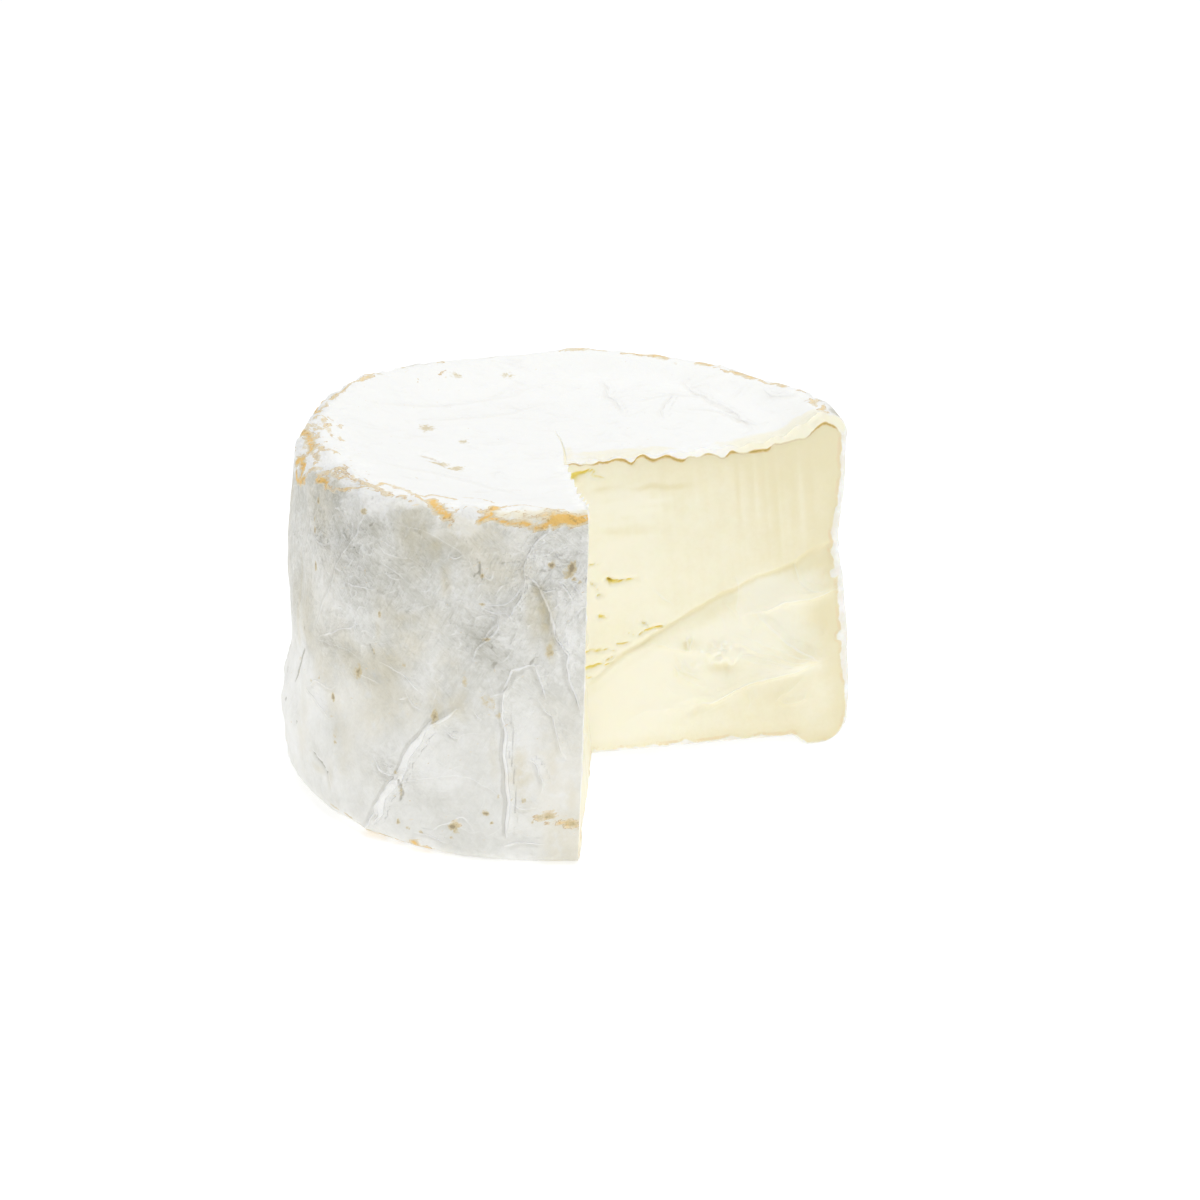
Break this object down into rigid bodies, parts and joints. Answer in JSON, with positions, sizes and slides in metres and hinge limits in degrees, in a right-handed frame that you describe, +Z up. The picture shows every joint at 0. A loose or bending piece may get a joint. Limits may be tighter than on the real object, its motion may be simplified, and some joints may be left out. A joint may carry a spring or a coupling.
{
  "type": "soft-ripened cheese wheel with a wedge cut out",
  "caption": "Tall white-rind soft cheese wheel, resting flat, with a wedge cut out so that the creamy paste shows on the cut faces.",
  "frame": {"origin": "on the wheel's axis, in the plane that it rests on", "axes": "+Z up along the wheel's axis; the missing wedge opens towards +X and -Y"},
  "size_m": [0.1184, 0.117, 0.0727],
  "materials": {
    "cheese": "matt, soft white mould rind over cream paste"
  },
  "bodies": {
    "root": {"cheese_wheel": "cheese"}
  },
  "joints": []
}
